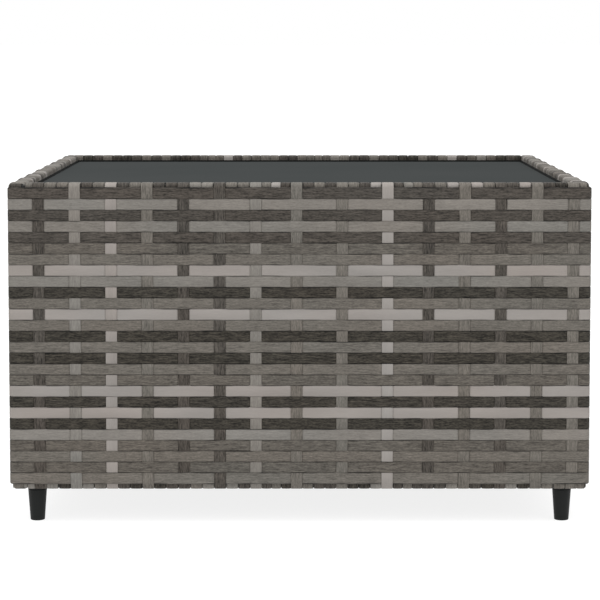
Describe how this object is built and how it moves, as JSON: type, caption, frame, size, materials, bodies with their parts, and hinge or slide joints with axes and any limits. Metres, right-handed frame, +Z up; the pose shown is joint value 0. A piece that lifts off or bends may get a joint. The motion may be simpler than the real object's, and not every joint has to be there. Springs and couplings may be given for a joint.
{
  "type": "wicker coffee table",
  "caption": "Square woven garden coffee table with a steel frame inside, a loose tinted glass top set in a woven rim, and tapered screw-in feet.",
  "frame": {"origin": "on the floor under the middle of the table", "axes": "+Z up, +Y towards the back, +X to the right seen from the front"},
  "size_m": [0.5, 0.5, 0.295],
  "materials": {
    "frame_paint": "dark grey powder coat, matt",
    "strand": "flat woven strand in mixed greys, streaked along its length",
    "tinted_glass": "dark grey tinted safety glass, polished, ground edge",
    "foot_plastic": "black moulded plastic, fine matt",
    "zinc_steel": "zinc plated",
    "pad_rubber": "soft black rubber"
  },
  "bodies": {
    "frame": {"top_rail_front": "frame_paint", "bottom_rail_front": "frame_paint", "stile_front": "frame_paint", "rim_wrap_front": "strand", "base_wrap_front": "strand", "woven_panel_front": "strand", "stakes_front": "strand", "top_rail_right": "frame_paint", "bottom_rail_right": "frame_paint", "stile_right": "frame_paint", "rim_wrap_right": "strand", "base_wrap_right": "strand", "woven_panel_right": "strand", "stakes_right": "strand", "top_rail_back": "frame_paint", "bottom_rail_back": "frame_paint", "stile_back": "frame_paint", "rim_wrap_back": "strand", "base_wrap_back": "strand", "woven_panel_back": "strand", "stakes_back": "strand", "top_rail_left": "frame_paint", "bottom_rail_left": "frame_paint", "stile_left": "frame_paint", "rim_wrap_left": "strand", "base_wrap_left": "strand", "woven_panel_left": "strand", "stakes_left": "strand", "corner_post_front_left": "frame_paint", "gusset_front_left": "frame_paint", "corner_post_front_right": "frame_paint", "gusset_front_right": "frame_paint", "corner_post_back_left": "frame_paint", "gusset_back_left": "frame_paint", "corner_post_back_right": "frame_paint", "gusset_back_right": "frame_paint", "glass_bearer_left": "frame_paint", "glass_bearer_right": "frame_paint", "foot_nuts": "zinc_steel", "glass_pads": "pad_rubber", "glass_edge_strip": "pad_rubber"},
    "glass": {"glass_top": "tinted_glass"},
    "front_left_foot": {"foot_front_left": "foot_plastic", "foot_stud_front_left": "zinc_steel"},
    "front_right_foot": {"foot_front_right": "foot_plastic", "foot_stud_front_right": "zinc_steel"},
    "back_left_foot": {"foot_back_left": "foot_plastic", "foot_stud_back_left": "zinc_steel"},
    "back_right_foot": {"foot_back_right": "foot_plastic", "foot_stud_back_right": "zinc_steel"}
  },
  "joints": [
    {"name": "glass_lift", "type": "slide", "parent": "frame", "child": "glass", "axis": [0, 0, 1], "range_m": [0, 0.06]},
    {"name": "front_left_foot_screw", "type": "slide", "parent": "frame", "child": "front_left_foot", "axis": [0, 0, -1], "range_m": [0, 0.008]},
    {"name": "front_right_foot_screw", "type": "slide", "parent": "frame", "child": "front_right_foot", "axis": [0, 0, -1], "range_m": [0, 0.008]},
    {"name": "back_left_foot_screw", "type": "slide", "parent": "frame", "child": "back_left_foot", "axis": [0, 0, -1], "range_m": [0, 0.008]},
    {"name": "back_right_foot_screw", "type": "slide", "parent": "frame", "child": "back_right_foot", "axis": [0, 0, -1], "range_m": [0, 0.008]}
  ]
}
